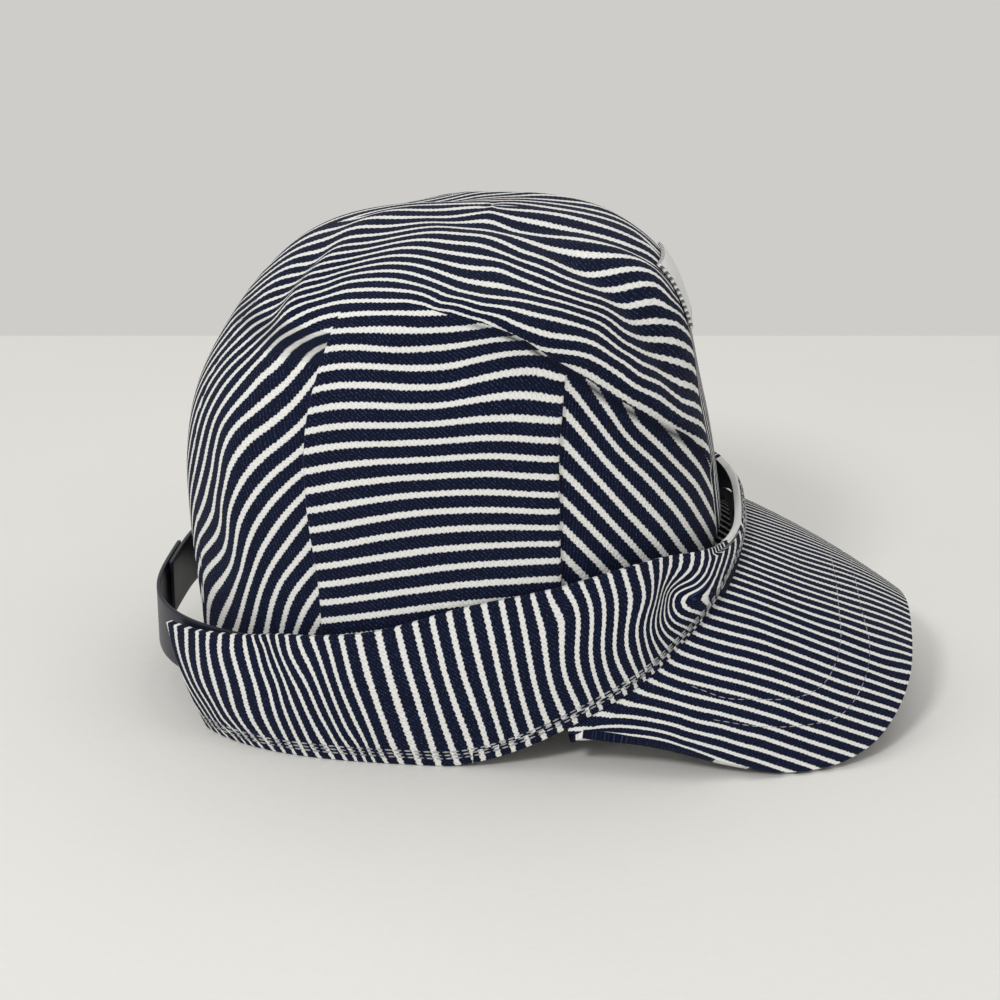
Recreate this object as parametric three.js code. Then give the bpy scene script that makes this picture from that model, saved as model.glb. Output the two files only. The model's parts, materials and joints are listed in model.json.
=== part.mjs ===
// Engineer cap: a soft railroad cap of striped cotton that rests on its hem and on its visor.
// Millimetres, +Z up, +X over the visor, +Y to the wearer's left.
// The tables are measured from the centre of the head loop. At the end the whole cap is moved
// along X, so that the origin is the middle of its footprint.

import * as THREE from 'three';
import { mergeVertices } from 'three/addons/utils/BufferGeometryUtils.js';

// Wall thicknesses, and the gap between neighbouring pieces
const CROWN_WALL = 1.6;
const BAND_WALL = 2.4;
const VISOR_WALL = 3.0;
const STRAP_WALL = 1.4;
const PATCH_WALL = 1.2;
const GAP = 0.4;

// Crown: level rings from the hem to the top, each with its reach to the front and to the back,
// its half width, and the power of its rounded box outline. The first four are 28 mm apart.
const RING_SPACING = 28;
const CROWN_RINGS = [
  { z: 0, front: 95, back: -87, half: 71.5, square: 2.5 },
  { z: 28, front: 95, back: -88, half: 72, square: 2.5 },
  { z: 56, front: 94.5, back: -88.5, half: 72.8, square: 2.5 },
  { z: 84, front: 90.5, back: -88.5, half: 75, square: 2.5 },
  { z: 108, front: 85, back: -83.5, half: 75.2, square: 2.5 },
  { z: 131, front: 79.5, back: -71, half: 74, square: 2.4 },
  { z: 147, front: 72.5, back: -57.5, half: 70.5, square: 2.15 },
  { z: 156.5, front: 62.5, back: -43.5, half: 53, square: 2.05 },
  { z: 162, front: 48, back: -24, half: 33, square: 2 },
  { z: 165, front: 30, back: -2, half: 14, square: 2 },
];
const CROWN_TOP = { z: 165.8, x: 14.5 };
const CROWN_COLUMNS = 72;
const CROWN_ROWS = 22;
const CROWN_LIFT = 1.5;

// Opening in the back of the crown, above the strap
const ARCH = { half: 40, height: 66, power: 3 };

// Side panels between the two pleats, which stand proud of the gathered cloth beside them.
// Angles are degrees round from the front; the levels count rings of the table above.
const PANEL = { front: 60, back: 118, lift: 2.6, edge: 2.5, full: 3.9, gone: 5.3 };

// Folds of the crown: ridges (height above 0) and valleys (below 0). Each runs straight over the
// cloth between two places, given as degrees from the front and ring level. Side -1 is the
// wearer's right, side 1 the left.
const CROWN_FOLDS = [
  { side: -1, angle: 104, level: 6.4, toAngle: 82, toLevel: 6.1, height: 1.8, width: 6 },
  { side: -1, angle: 82, level: 6.1, toAngle: 56, toLevel: 5.1, height: 2.8, width: 7 },
  { side: -1, angle: 56, level: 5.1, toAngle: 22, toLevel: 3.75, height: 3.0, width: 8 },
  { side: -1, angle: 80, level: 5.55, toAngle: 54, toLevel: 4.5, height: -1.8, width: 5 },
  { side: -1, angle: 54, level: 4.5, toAngle: 26, toLevel: 3.25, height: -1.8, width: 6 },
  { side: -1, angle: 53, level: 7.8, toAngle: 42, toLevel: 6.15, height: -2.4, width: 7 },
  { side: -1, angle: 42, level: 6.15, toAngle: 28, toLevel: 4.3, height: -2.6, width: 7 },
  { side: -1, angle: 28, level: 6.8, toAngle: 16, toLevel: 4.4, height: 2.6, width: 11 },
  { side: -1, angle: 131, level: 5.2, toAngle: 138, toLevel: 6.9, height: 2.4, width: 6 },
  { side: -1, angle: 138, level: 6.9, toAngle: 172, toLevel: 8.4, height: 2.2, width: 8 },
  { side: -1, angle: 141, level: 5, toAngle: 150, toLevel: 7, height: -2.2, width: 7 },
  { side: -1, angle: 140, level: 8.9, toAngle: 62, toLevel: 8.6, height: -1.8, width: 8 },
  { side: -1, angle: 62, level: 8.6, toAngle: 22, toLevel: 8.1, height: -1.8, width: 7 },
  { side: -1, angle: 22, level: 7.7, toAngle: 14, toLevel: 6.4, height: -1.4, width: 6 },
  { side: -1, angle: 136, level: 3.9, toAngle: 137, toLevel: 1.4, height: 2.0, width: 8 },
  { side: 1, angle: 126, level: 5.2, toAngle: 96, toLevel: 7.6, height: 2.2, width: 8 },
  { side: 1, angle: 150, level: 6.4, toAngle: 118, toLevel: 8.6, height: -2.4, width: 9 },
  { side: 1, angle: 84, level: 7.8, toAngle: 26, toLevel: 7.4, height: 2.0, width: 9 },
  { side: 1, angle: 52, level: 7, toAngle: 34, toLevel: 4.4, height: -2.4, width: 8 },
  { side: 1, angle: 68, level: 5.4, toAngle: 30, toLevel: 3.4, height: 2.4, width: 9 },
  { side: 1, angle: 144, level: 4.4, toAngle: 139, toLevel: 1.6, height: 1.8, width: 8 },
];
const FOLD_SAMPLES = 16;

// Turned-up band, sewn only along its bottom edge and open at the back. Each edge is a rounded
// box outline; `end` is where it stops, in degrees from the front.
const BAND_BOTTOM = { front: 101, back: 91, half: 80, square: 3, end: 141 };
const BAND_TOP = { front: 100, back: 104, half: 78, square: 3, end: 147 };
const BAND_BOTTOM_HEIGHTS = [
  { x: -80, z: 0 },
  { x: 4, z: 0 },
  { x: 16, z: 1.6 },
  { x: 31, z: 6.8 },
  { x: 47, z: 14.8 },
  { x: 69, z: 28 },
  { x: 86, z: 43 },
  { x: 97, z: 55 },
  { x: 101, z: 60 },
];
const BAND_TOP_HEIGHTS = [
  { x: -89, z: 36 },
  { x: -41, z: 41.6 },
  { x: -16, z: 45 },
  { x: 13, z: 54.6 },
  { x: 39, z: 61 },
  { x: 68, z: 68 },
  { x: 86, z: 67 },
  { x: 100, z: 66.4 },
];
const BAND_BULGE = 1.6;

const BAND_COLUMNS = 84;
const BAND_ROWS = 5;

// Buckles of the band: place in degrees from the front, push outwards in mm at mid height and at
// the free edge, and half width in degrees
const BAND_BUCKLES = [
  { angle: -37, middle: 1.5, edge: -4.0, width: 7 },
  { angle: -124, middle: 1.0, edge: -1.5, width: 7 },
  { angle: 41, middle: 1.0, edge: -3.0, width: 8 },
];

// Visor: a stiff arched board. Each row is a place on its edge, the same on both sides, and the
// degrees from the front at which the cloth line from there meets the band.
const VISOR_EDGE = [
  { x: 159, y: 0, z: 26, root: 0 },
  { x: 157.6, y: 30, z: 20.4, root: 15 },
  { x: 154, y: 44, z: 12.9, root: 23 },
  { x: 147, y: 56, z: 5.8, root: 31 },
  { x: 139, y: 63.5, z: 1.8, root: 36.5 },
  { x: 129, y: 69, z: -0.6, root: 41 },
  { x: 115, y: 74, z: -0.8, root: 45.5 },
  { x: 99, y: 77.3, z: 2.6, root: 49 },
  { x: 82, y: 79, z: 7.4, root: 52.5 },
  { x: 65, y: 79.2, z: 10.6, root: 56 },
  { x: 52, y: 78.8, z: 12.1, root: 58.8 },
];
const VISOR_COLUMNS = 44;
const VISOR_ROWS = 7;
const VISOR_CROWNING = 2.2;
const VISOR_LENGTH = 60;
const VISOR_TUCK = 3.0;
const VISOR_GAP = 1.0;

// Snap strap across the back opening: two halves that overlap in the middle
const STRAP = { back: 100, half: 74, square: 3, bottom: 18, top: 38, end: 127, overlap: 12 };
const STRAP_COLUMNS = 20;
const STRAP_ROWS = 2;

// Plain patch on the front of the crown, by degrees to each side and ring levels
const PATCH = { half: 15, bottom: 4.95, top: 6.3 };
const PATCH_COLUMNS = 8;
const PATCH_ROWS = 5;

const NAVY = 0x1c2647;
const BLACK = 0x14161c;
const WHITE = 0xe9e8e4;

// Smooth curve through the rows of a table, at a value of its key column
function lookup(rows, key, column, value) {
  const last = rows.length - 1;
  const at = THREE.MathUtils.clamp(value, rows[0][key], rows[last][key]);
  let i = 0;
  while (i < last - 1 && rows[i + 1][key] <= at) i += 1;
  const slope = (a, b) => (rows[b][column] - rows[a][column]) / (rows[b][key] - rows[a][key]);
  const step = rows[i + 1][key] - rows[i][key];
  const start = slope(Math.max(i - 1, 0), i + 1) * step;
  const finish = slope(i, Math.min(i + 2, last)) * step;
  const t = (at - rows[i][key]) / step;
  const blend = t * t * (3 - 2 * t);
  return rows[i][column] * (1 - blend) + rows[i + 1][column] * blend
    + start * t * (1 - t) * (1 - t) - finish * t * t * (1 - t);
}

// Distance from the middle of a rounded box outline to its edge, in a given direction
function outline(angle, reach, half, square) {
  const across = Math.abs(Math.cos(angle) / reach) ** square;
  const along = Math.abs(Math.sin(angle) / half) ** square;
  return (across + along) ** (-1 / square);
}

// The crown's rings with their centre and reach. Rows before the first and after the last carry
// the curve on smoothly: straight down, and over the top to the other side.
function ringTable() {
  const rings = CROWN_RINGS.map((row, level) => ({
    level,
    z: row.z,
    centre: (row.front + row.back) / 2,
    reach: (row.front - row.back) / 2,
    half: row.half,
    square: row.square,
  }));
  const top = rings.length;
  const last = rings[top - 1];
  const over = { ...last, level: top + 1, reach: -last.reach, half: -last.half };
  over.centre = 2 * CROWN_TOP.x - last.centre;
  return [
    { ...rings[0], level: -1, z: -RING_SPACING },
    ...rings,
    { level: top, z: CROWN_TOP.z, centre: CROWN_TOP.x, reach: 0, half: 0, square: 2 },
    over,
  ];
}
const RINGS = ringTable();
const TOP_LEVEL = CROWN_RINGS.length;

function smoothCrown(angle, level) {
  const ring = {};
  for (const column of ['z', 'centre', 'reach', 'half', 'square']) {
    ring[column] = lookup(RINGS, 'level', column, level);
  }
  const closed = TOP_LEVEL - level < 1e-6;
  const radius = closed ? 0 : outline(angle, ring.reach, ring.half, ring.square);
  return new THREE.Vector3(
    ring.centre + radius * Math.cos(angle),
    radius * Math.sin(angle),
    ring.z,
  );
}

// Outward direction of a surface point(angle, level)
function outward(point, angle, level) {
  if (TOP_LEVEL - level < 0.02) return new THREE.Vector3(0, 0, 1);
  const step = 0.01;
  const round = point(angle + step, level).sub(point(angle - step, level));
  const up = point(angle, level + step).sub(point(angle, level - step));
  return round.cross(up).normalize();
}

// Each fold as a string of places on the smooth crown, with how strong it is at each
const FOLDS = CROWN_FOLDS.map((fold) => {
  const samples = [];
  for (let i = 0; i <= FOLD_SAMPLES; i += 1) {
    const t = i / FOLD_SAMPLES;
    const degrees = THREE.MathUtils.lerp(fold.angle, fold.toAngle, t);
    const level = THREE.MathUtils.lerp(fold.level, fold.toLevel, t);
    const place = smoothCrown(THREE.MathUtils.degToRad(fold.side * degrees), level);
    samples.push({ place, strength: Math.sqrt(Math.sin(Math.PI * (0.06 + 0.88 * t))) });
  }
  return { samples, height: fold.height, width: fold.width };
});

// How far the folds push a place of the crown outwards
function foldPush(place) {
  let push = 0;
  for (const fold of FOLDS) {
    let strongest = 0;
    for (const { place: centre, strength } of fold.samples) {
      const distance = place.distanceTo(centre) / fold.width;
      strongest = Math.max(strongest, strength * Math.exp(-distance * distance));
    }
    push += fold.height * strongest;
  }
  return push;
}

// How far the side panel stands proud at a place of the crown
function panelPush(angle, level) {
  const turn = Math.abs(Math.atan2(Math.sin(angle), Math.cos(angle)));
  const degrees = THREE.MathUtils.radToDeg(turn);
  const from = THREE.MathUtils.smoothstep(degrees, PANEL.front - PANEL.edge, PANEL.front + PANEL.edge);
  const to = THREE.MathUtils.smoothstep(degrees, PANEL.back - PANEL.edge, PANEL.back + PANEL.edge);
  const fade = 1 - THREE.MathUtils.smoothstep(level, PANEL.full, PANEL.gone);
  return PANEL.lift * (from - to) * fade;
}

function crownPoint(angle, level) {
  const place = smoothCrown(angle, level);
  const push = foldPush(place) + panelPush(angle, level);
  return place.addScaledVector(outward(smoothCrown, angle, level), push);
}

function loopPoint(loop, angle) {
  const reach = Math.cos(angle) > 0 ? loop.front : loop.back;
  const radius = outline(angle, reach, loop.half, loop.square);
  return new THREE.Vector3(radius * Math.cos(angle), radius * Math.sin(angle), 0);
}

function bandBottom(angle) {
  const place = loopPoint(BAND_BOTTOM, angle);
  place.z = Math.max(0, lookup(BAND_BOTTOM_HEIGHTS, 'x', 'z', place.x));
  return place;
}

function bandTop(angle) {
  const place = loopPoint(BAND_TOP, angle);
  place.z = lookup(BAND_TOP_HEIGHTS, 'x', 'z', place.x);
  return place;
}

// The level at which the crown's cloth starts: just above the hem, or at the arch in the back
function crownStart(angle) {
  const hem = bandBottom(angle).z + CROWN_LIFT;
  const { x, y } = smoothCrown(angle, 1);
  const inArch = x < 0 && Math.abs(y) < ARCH.half;
  const arch = inArch ? ARCH.height * (1 - (Math.abs(y) / ARCH.half) ** ARCH.power) ** (1 / ARCH.power) : 0;
  return Math.max(hem, arch) / RING_SPACING;
}

// A closed body between two grids of points, rows[i][j]. The first grid is the side that faces
// right of a walk up the rows with the columns running leftwards. A loop joins its two ends.
function sheet(outer, inner, isLoop) {
  const corners = [];
  const triangle = (a, b, c) => {
    const flat = a.distanceTo(b) < 1e-3 || b.distanceTo(c) < 1e-3 || c.distanceTo(a) < 1e-3;
    if (!flat) corners.push(...a.toArray(), ...b.toArray(), ...c.toArray());
  };
  const quad = (a, b, c, d) => {
    triangle(a, b, c);
    triangle(a, c, d);
  };
  const rows = outer.length;
  const columns = outer[0].length;
  const spans = isLoop ? columns : columns - 1;
  for (let j = 0; j < spans; j += 1) {
    const k = (j + 1) % columns;
    for (let i = 0; i < rows - 1; i += 1) {
      quad(outer[i][j], outer[i][k], outer[i + 1][k], outer[i + 1][j]);
      quad(inner[i][k], inner[i][j], inner[i + 1][j], inner[i + 1][k]);
    }
    quad(inner[0][j], inner[0][k], outer[0][k], outer[0][j]);
    const top = rows - 1;
    const isPole = outer[top][j].distanceTo(outer[top][k]) < 1e-3;
    if (!isPole) quad(outer[top][j], outer[top][k], inner[top][k], inner[top][j]);
  }
  if (!isLoop) {
    const end = columns - 1;
    for (let i = 0; i < rows - 1; i += 1) {
      quad(inner[i][0], outer[i][0], outer[i + 1][0], inner[i + 1][0]);
      quad(outer[i][end], inner[i][end], inner[i + 1][end], outer[i + 1][end]);
    }
  }
  const geometry = new THREE.BufferGeometry();
  geometry.setAttribute('position', new THREE.Float32BufferAttribute(corners, 3));
  const merged = mergeVertices(geometry, 1e-3);
  merged.computeVertexNormals();
  return merged;
}

function grid(rows, columns, point) {
  return Array.from({ length: rows + 1 }, (_, i) => (
    Array.from({ length: columns + 1 }, (__, j) => point(i / rows, j / columns))
  ));
}

// Soft crown, one cloth wall folded and pleated all round
function crownGeometry() {
  const outer = [];
  const inner = [];
  for (let i = 0; i <= CROWN_ROWS; i += 1) {
    outer.push([]);
    inner.push([]);
    for (let j = 0; j < CROWN_COLUMNS; j += 1) {
      const angle = (2 * Math.PI * j) / CROWN_COLUMNS;
      const isTop = i === CROWN_ROWS;
      const level = THREE.MathUtils.lerp(crownStart(angle), TOP_LEVEL, i / CROWN_ROWS);
      const place = crownPoint(isTop ? 0 : angle, level);
      outer[i].push(place);
      inner[i].push(place.clone().addScaledVector(outward(crownPoint, isTop ? 0 : angle, level), -CROWN_WALL));
    }
  }
  return sheet(outer, inner, true);
}

// How far the buckles push the band outwards, at a height from 0 (hem) to 1 (free edge)
function bucklePush(degrees, height) {
  let push = BAND_BULGE * Math.sin(Math.PI * height);
  for (const buckle of BAND_BUCKLES) {
    const distance = (degrees - buckle.angle) / buckle.width;
    const lean = buckle.middle * Math.sin(Math.PI * height) + buckle.edge * height ** 2;
    push += lean * Math.exp(-distance * distance);
  }
  return push;
}

// The visor's edge table from one side to the other, with its row numbers as the key
const EDGE = [
  ...VISOR_EDGE.slice(1).reverse().map((row) => ({ ...row, y: -row.y, root: -row.root })),
  ...VISOR_EDGE,
].map((row, number) => ({ ...row, number }));

// The line of the visor board at a row number of its edge table: from the hem to the edge, and
// the direction inwards across the hem with the board's rise in it
function visorLine(number) {
  const edge = new THREE.Vector3(...['x', 'y', 'z'].map((column) => lookup(EDGE, 'number', column, number)));
  edge.z += VISOR_WALL / 2;
  const degrees = lookup(EDGE, 'number', 'root', number);
  const hem = bandBottom(THREE.MathUtils.degToRad(degrees));
  const ahead = bandBottom(THREE.MathUtils.degToRad(degrees + 1));
  const round = ahead.sub(bandBottom(THREE.MathUtils.degToRad(degrees - 1)));
  const inwards = new THREE.Vector3(-round.y, round.x, 0).normalize();
  const board = edge.clone().sub(hem).cross(round).normalize();
  hem.z -= VISOR_GAP + VISOR_WALL / 2 / Math.abs(board.z);
  inwards.z = -board.dot(inwards) / board.z;
  return { hem, edge, inwards };
}

// Rise of the visor board per mm inwards from the hem, at an angle round the band
function visorRise(degrees) {
  const side = Math.min(Math.abs(degrees), VISOR_EDGE[VISOR_EDGE.length - 1].root);
  const past = THREE.MathUtils.smoothstep(Math.abs(degrees) - side, 0, 6);
  const number = lookup([...VISOR_EDGE].map((row, i) => ({ ...row, i })), 'root', 'i', side);
  return (1 - past) * visorLine(VISOR_EDGE.length - 1 + number).inwards.z;
}

// A point on the middle surface of the visor board: out -1 to 0 is the tuck under the band, and
// 0 to 1 runs from the hem to the edge. Across runs from 0 to 1.
function visorPoint(out, across) {
  const { hem, edge, inwards } = visorLine(across * (EDGE.length - 1));
  if (out < 0) return hem.addScaledVector(inwards, -out * VISOR_TUCK);
  const crowning = VISOR_CROWNING * Math.min(1, hem.distanceTo(edge) / VISOR_LENGTH);
  hem.lerp(edge, out);
  hem.z += crowning * 4 * out * (1 - out);
  return hem;
}

// A point on the band: height 0 to 1, along -1 (right end) to 1 (left end), set in from outside
function bandPoint(height, along, depth) {
  const low = bandBottom(THREE.MathUtils.degToRad(BAND_BOTTOM.end * along));
  const high = bandTop(THREE.MathUtils.degToRad(BAND_TOP.end * along));
  const step = 0.002;
  const ahead = loopPoint(BAND_TOP, THREE.MathUtils.degToRad(BAND_TOP.end * (along + step)));
  const behind = loopPoint(BAND_TOP, THREE.MathUtils.degToRad(BAND_TOP.end * (along - step)));
  const round = ahead.sub(behind);
  const out = new THREE.Vector3(round.y, -round.x, 0).normalize();
  const degrees = THREE.MathUtils.lerp(BAND_BOTTOM.end, BAND_TOP.end, height) * along;
  const place = low.lerp(high, height).addScaledVector(out, bucklePush(degrees, height) - depth);
  if (height === 0) place.z += depth * visorRise(degrees);
  return place;
}

function bandGeometry() {
  const side = (depth) => grid(BAND_ROWS, BAND_COLUMNS, (v, u) => bandPoint(v, 2 * u - 1, depth));
  return sheet(side(0), side(BAND_WALL), false);
}

function visorGeometry() {
  const surface = (lift) => grid(VISOR_ROWS, VISOR_COLUMNS, (up, across) => {
    const out = up === 0 ? -1 : (up * VISOR_ROWS - 1) / (VISOR_ROWS - 1);
    const place = visorPoint(out, across);
    const step = 0.01;
    const ends = [Math.max(across - step, 0), Math.min(across + step, 1)];
    const round = visorPoint(out, ends[1]).sub(visorPoint(out, ends[0]));
    const away = visorPoint(out + step, across).sub(visorPoint(out - step, across));
    place.addScaledVector(away.cross(round).normalize(), lift);
    place.z = Math.max(place.z, 0);
    return place;
  });
  return sheet(surface(-VISOR_WALL / 2), surface(VISOR_WALL / 2), false);
}

// One half of the strap, from its end inside the band to just past the middle of the back
function strapGeometry(side, depth) {
  const from = 180 - side * (180 - STRAP.end);
  const to = 180 + side * STRAP.overlap / 2;
  const [first, last] = side > 0 ? [from, to] : [to, from];
  const place = (height, along, inset) => {
    const angle = THREE.MathUtils.degToRad(THREE.MathUtils.lerp(first, last, along));
    const radius = outline(angle, STRAP.back, STRAP.half, STRAP.square) - depth - inset;
    const z = THREE.MathUtils.lerp(STRAP.bottom, STRAP.top, height);
    return new THREE.Vector3(radius * Math.cos(angle), radius * Math.sin(angle), z);
  };
  const surface = (inset) => grid(STRAP_ROWS, STRAP_COLUMNS, (height, along) => place(height, along, inset));
  return sheet(surface(0), surface(STRAP_WALL), false);
}

function patchGeometry() {
  const surface = (lift) => grid(PATCH_ROWS, PATCH_COLUMNS, (up, across) => {
    const angle = THREE.MathUtils.degToRad(PATCH.half * (2 * across - 1));
    const level = THREE.MathUtils.lerp(PATCH.bottom, PATCH.top, up);
    return crownPoint(angle, level).addScaledVector(outward(crownPoint, angle, level), lift);
  });
  return sheet(surface(GAP + PATCH_WALL), surface(GAP), false);
}

function piece(name, geometry, color, roughness) {
  const material = new THREE.MeshStandardMaterial({ color, roughness, metalness: 0 });
  const mesh = new THREE.Mesh(geometry, material);
  mesh.name = name;
  return mesh;
}

const cap = new THREE.Group();
cap.add(
  piece('crown', crownGeometry(), NAVY, 0.95),
  piece('band', bandGeometry(), NAVY, 0.95),
  piece('visor', visorGeometry(), NAVY, 0.95),
  piece('strap_right', strapGeometry(-1, 0), BLACK, 0.35),
  piece('strap_left', strapGeometry(1, STRAP_WALL + GAP), BLACK, 0.35),
  piece('front_patch', patchGeometry(), WHITE, 0.9),
);

// Move the middle of the footprint to the origin
const box = new THREE.Box3().setFromObject(cap);
cap.position.x = -(box.min.x + box.max.x) / 2;

export default cap;
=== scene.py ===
# %% [markdown]
# # An engineer cap in striped cloth
# The cap is sewn from one kind of cloth: navy twill with cream stripes. Its crown is a gathered
# bag, a band is turned up round it, a stiff visor sticks out in front and a snap strap closes
# the open back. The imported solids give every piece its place. This script drapes fine cloth over
# the same forms, lays the stripes the way the cloth runs, and adds thread and a patch.

# %% Load the frame
import json
import math

import bmesh
import bpy
import numpy as np
from mathutils import Matrix, Vector

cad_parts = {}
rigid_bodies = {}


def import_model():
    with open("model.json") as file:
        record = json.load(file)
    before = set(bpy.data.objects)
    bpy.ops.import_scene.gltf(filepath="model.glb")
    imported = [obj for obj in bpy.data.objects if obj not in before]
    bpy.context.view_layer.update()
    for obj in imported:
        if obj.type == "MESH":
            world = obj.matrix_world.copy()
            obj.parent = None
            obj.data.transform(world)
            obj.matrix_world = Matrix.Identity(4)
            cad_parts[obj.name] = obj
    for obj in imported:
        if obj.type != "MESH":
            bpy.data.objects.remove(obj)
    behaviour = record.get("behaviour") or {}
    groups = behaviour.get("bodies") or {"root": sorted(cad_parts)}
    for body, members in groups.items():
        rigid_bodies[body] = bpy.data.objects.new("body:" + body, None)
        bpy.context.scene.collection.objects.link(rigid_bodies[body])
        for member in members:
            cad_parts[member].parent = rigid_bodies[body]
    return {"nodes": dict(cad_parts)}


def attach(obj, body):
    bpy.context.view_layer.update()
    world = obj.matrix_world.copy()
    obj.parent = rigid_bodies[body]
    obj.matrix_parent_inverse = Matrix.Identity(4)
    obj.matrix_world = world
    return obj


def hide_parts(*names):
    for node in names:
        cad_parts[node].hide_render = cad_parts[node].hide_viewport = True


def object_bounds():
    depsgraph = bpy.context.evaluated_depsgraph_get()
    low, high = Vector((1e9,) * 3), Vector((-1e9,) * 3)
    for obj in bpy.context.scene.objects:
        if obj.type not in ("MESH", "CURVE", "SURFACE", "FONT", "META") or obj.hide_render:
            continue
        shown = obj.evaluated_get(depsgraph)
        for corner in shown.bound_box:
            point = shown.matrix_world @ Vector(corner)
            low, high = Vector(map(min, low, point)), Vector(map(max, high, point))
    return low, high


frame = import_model()
cad_low, cad_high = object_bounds()
print("solids:", sorted(frame["nodes"]))
print("box:", [round(1000 * size, 1) for size in cad_high - cad_low], "mm")

# %% [markdown]
# ## Units and a place to stand
# Cloth is measured in millimetres from the middle of the head loop, which is how a hatter would
# do it. The frame's origin is the middle of the whole footprint. The back of the strap touches
# the frame's lowest x, so that one number ties the two together.

# %% Millimetres to the frame
MM = 0.001
STRAP_BACK = 100.0
LOOP_SHIFT = cad_low.x / MM + STRAP_BACK


def to_frame(points):
    """Places in mm from the head loop's middle, as metres in the frame."""
    return (np.asarray(points, float) + [LOOP_SHIFT, 0, 0]) * MM


print("the head loop's middle is at x =", round(LOOP_SHIFT, 2), "mm")

# %% [markdown]
# ## Curves and rounded boxes
# Every outline of the cap is a rounded box, which is an ellipse with a power other than 2. Sizes
# between the rows of a table come from one smooth curve through them. A cubic through each pair
# of rows, with its slopes taken from their neighbours, is smooth enough for cloth.

# %% Smooth tables, outlines and steps


def curve(rows, column, at):
    """Smooth curve through (key, values...) rows; column 1 is the first value."""
    rows = np.asarray(rows, float)
    key, value = rows[:, 0], rows[:, column]
    at = np.clip(at, key[0], key[-1])
    i = np.clip(np.searchsorted(key, at, side="right") - 1, 0, len(key) - 2)
    slope = np.empty(len(key))
    slope[1:-1] = (value[2:] - value[:-2]) / (key[2:] - key[:-2])
    slope[0] = (value[1] - value[0]) / (key[1] - key[0])
    slope[-1] = (value[-1] - value[-2]) / (key[-1] - key[-2])
    step = key[i + 1] - key[i]
    t = (at - key[i]) / step
    blend = t * t * (3 - 2 * t)
    hills = slope[i] * t * (1 - t) ** 2 - slope[i + 1] * t * t * (1 - t)
    return value[i] * (1 - blend) + value[i + 1] * blend + hills * step


def smooth(value, low, high):
    """0 below low, 1 above high, and a smooth step between."""
    t = np.clip((value - low) / (high - low), 0, 1)
    return t * t * (3 - 2 * t)


def outline(angle, reach, half, square):
    """Distance from the middle of a rounded box to its edge, in a direction."""
    across = np.abs(np.cos(angle) / reach) ** square
    along = np.abs(np.sin(angle) / half) ** square
    return (across + along) ** (-1 / square)


# %% [markdown]
# ## From the photograph to the cloth
# The stripes on pulled cloth don't follow a formula, so a few of them were read off the
# photograph and are written down in pixels. The camera that took it is known. So a fine grid of
# places on the cloth can be carried into the picture, and a pixel stands for the nearest place of
# the grid that faces the camera. Measuring on the solids would be another way, but it would have
# to be done again whenever a form changes.

# %% What the camera sees
CAMERA_TURN = 6.0
CAMERA_TILT = 70.0
CAMERA_PLACE = (68.8, -654.2, 309.4)
CAMERA_LENS = 72.65
CAMERA_SENSOR = 36
SHIFT_RIGHT = 0.051
SHIFT_UP = -0.0236
PICTURE = 1000


def in_picture(places):
    """Pixels across and down of places in mm."""
    turn, tilt = math.radians(CAMERA_TURN), math.radians(CAMERA_TILT)
    right = (math.cos(turn), math.sin(turn), 0)
    up = (-math.sin(turn) * math.cos(tilt), math.cos(turn) * math.cos(tilt), math.sin(tilt))
    ahead = (-math.sin(turn) * math.sin(tilt), math.cos(turn) * math.sin(tilt), -math.cos(tilt))
    seen = places - np.array(CAMERA_PLACE)
    scale = CAMERA_LENS / CAMERA_SENSOR / (seen @ ahead)
    across = 0.5 - SHIFT_RIGHT + (seen @ right) * scale
    down = 0.5 + SHIFT_UP - (seen @ up) * scale
    return across * PICTURE, down * PICTURE


def turned_away(places, away, slack):
    """A whole picture's width where cloth faces away from the camera by more than slack, else 0."""
    facing = ((np.array(CAMERA_PLACE) - places) * away).sum(-1) > -slack
    return np.where(facing, 0, PICTURE)


def reader(first, second, places, hidden, steps):
    """A function that turns rows of pixels into rows of places on a grid of cloth.

    first and second are the grid's two counts. steps are how finely each is read."""
    across, down = in_picture(places)

    def read(rows, left=0, top=0, enlarged=1):
        """left, top and enlarged say which enlarged part of the picture the rows were read on."""
        found = []
        for number, *pixels in rows:
            row = [number]
            for x, y in zip(pixels[::2], pixels[1::2]):
                far = np.hypot(across - left - x / enlarged, down - top - y / enlarged) + hidden
                nearest = np.unravel_index(np.argmin(far), far.shape)
                row.append(round(first[nearest] / steps[0]) * steps[0])
                row.append(round(second[nearest] / steps[1]) * steps[1])
            found.append(row)
        return found

    return read


print("the camera looks down by", 90 - CAMERA_TILT, "degrees")

# %% [markdown]
# ## The crown's form
# The crown is a soft bag with a boxy plan. Ten level rings give its reach to the front and to
# the back, its half width and how square it is. A place on it is an angle from the front and a
# level, which counts rings. Sculpting by hand would do as well, but rings keep the outline of
# the photograph, and the same rows as in the solids keep the cloth on them.

# %% Rings of the crown
RING_SPACING = 28.0
# height, front, back, half width, power of the rounded box
CROWN_RINGS = [
    (0, 95, -87, 71.5, 2.5),
    (28, 95, -88, 72, 2.5),
    (56, 94.5, -88.5, 72.8, 2.5),
    (84, 90.5, -88.5, 75, 2.5),
    (108, 85, -83.5, 75.2, 2.5),
    (131, 79.5, -71, 74, 2.4),
    (147, 72.5, -57.5, 70.5, 2.15),
    (156.5, 62.5, -43.5, 53, 2.05),
    (162, 48, -24, 33, 2),
    (165, 30, -2, 14, 2),
]
CROWN_TOP_Z = 165.8
CROWN_TOP_X = 14.5
TOP_LEVEL = len(CROWN_RINGS)


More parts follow.
